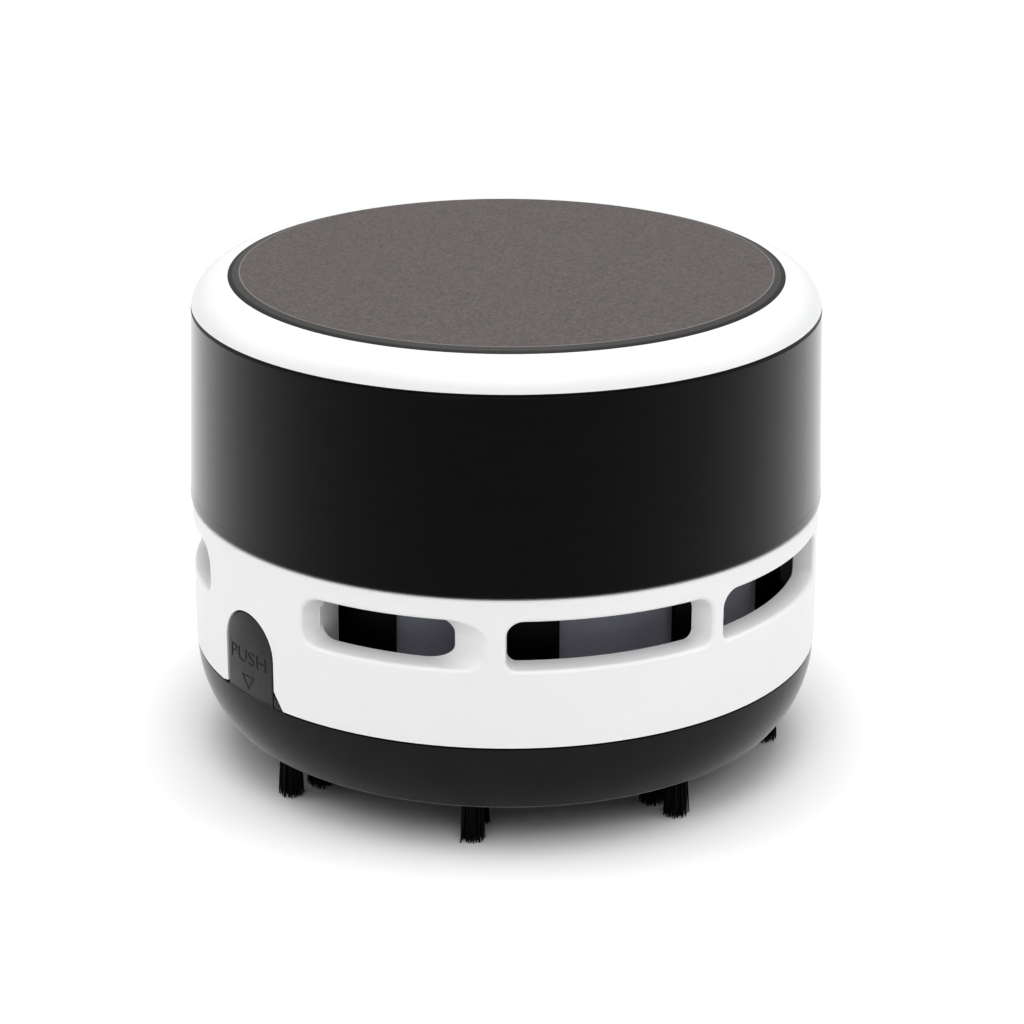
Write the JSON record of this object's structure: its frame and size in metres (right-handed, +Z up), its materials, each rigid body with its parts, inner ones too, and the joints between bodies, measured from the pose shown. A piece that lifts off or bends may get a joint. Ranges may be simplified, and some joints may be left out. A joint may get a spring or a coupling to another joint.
{
  "type": "desktop mini vacuum cleaner",
  "caption": "Round battery desk vacuum: bristle feet, dust tray with push tabs, windowed outlet ring, fan and motor drum, slide switch, lift-off cap.",
  "frame": {"origin": "on the floor under the centre of the body, level with the bristle tips", "axes": "+Z up along the motor axis; front is -Y; the power switch is at the back, on +Y"},
  "size_m": [0.085, 0.085, 0.0661],
  "materials": {
    "black_shell": "satin moulded",
    "black_drum": "satin moulded",
    "black_frame": "plain moulded",
    "white_shell": "smooth satin gloss",
    "grey_disc": "fine matt grain",
    "bristle": "nylon bristle",
    "mesh": "fine woven mesh",
    "impeller": "plain moulded",
    "endbell": "plain moulded",
    "steel": "zinc plated",
    "nickel": "nickel plated",
    "brass": "plain",
    "lead_red": "insulated wire",
    "lead_black": "insulated wire",
    "cell_wrap": "satin wrap"
  },
  "bodies": {
    "base": {"base_shell": "black_shell", "brush_tufts": "bristle"},
    "tab_front": {"release_tab_front": "black_shell"},
    "tab_rear": {"release_tab_rear": "black_shell"},
    "filter": {"filter_frame": "black_frame", "filter_mesh": "mesh"},
    "housing": {"exhaust_ring": "white_shell", "fan_plate": "black_frame", "motor_can": "steel", "motor_endbell": "endbell", "motor_terminals": "brass", "motor_bushes": "brass", "motor_screws": "steel", "chassis": "black_frame", "chassis_screws": "steel", "contact_plates": "nickel", "contact_springs": "nickel", "contact_bridge": "nickel", "lead_motor_switch": "lead_red", "lead_motor_cell": "lead_black", "lead_switch_cell": "lead_red", "drum_sleeve": "black_drum", "switch_body": "endbell", "switch_frame": "nickel"},
    "rotor": {"impeller": "impeller", "motor_shaft": "steel"},
    "switch": {"switch_knob": "black_shell"},
    "cap": {"cap_shell": "white_shell", "top_disc": "grey_disc"},
    "cells": {"battery_left": "cell_wrap", "battery_right": "cell_wrap"}
  },
  "joints": [
    {"name": "housing_lift", "type": "slide", "parent": "base", "child": "housing", "axis": [0, 0, 1], "range_m": [0, 0.05]},
    {"name": "filter_lift", "type": "slide", "parent": "base", "child": "filter", "axis": [0, 0, 1], "range_m": [0, 0.025]},
    {"name": "tab_front_press", "type": "hinge", "parent": "base", "child": "tab_front", "pos_m": [-0.03223, -0.02518, 0.0155], "axis": [-0.6157, 0.788, 0], "range_deg": [0, 6], "stiffness_Nm_per_rad": 0.6},
    {"name": "tab_rear_press", "type": "hinge", "parent": "base", "child": "tab_rear", "pos_m": [0.03223, 0.02518, 0.0155], "axis": [0.6157, -0.788, 0], "range_deg": [0, 6], "stiffness_Nm_per_rad": 0.6},
    {"name": "cap_lift", "type": "slide", "parent": "housing", "child": "cap", "axis": [0, 0, 1], "range_m": [0, 0.05]},
    {"name": "cell_lift", "type": "slide", "parent": "housing", "child": "cells", "axis": [0, 0, 1], "range_m": [0, 0.025]},
    {"name": "power_slide", "type": "slide", "parent": "housing", "child": "switch", "axis": [1, 0, 0], "range_m": [0, 0.004]},
    {"name": "fan_spin", "type": "hinge", "parent": "housing", "child": "rotor", "pos_m": [0, 0, 0.03], "axis": [0, 0, 1], "continuous": true}
  ],
  "couplings": [
    {"joint": "filter_lift", "follows": "housing_lift", "ratio": 0.5},
    {"joint": "cell_lift", "follows": "cap_lift", "ratio": 0.5}
  ]
}
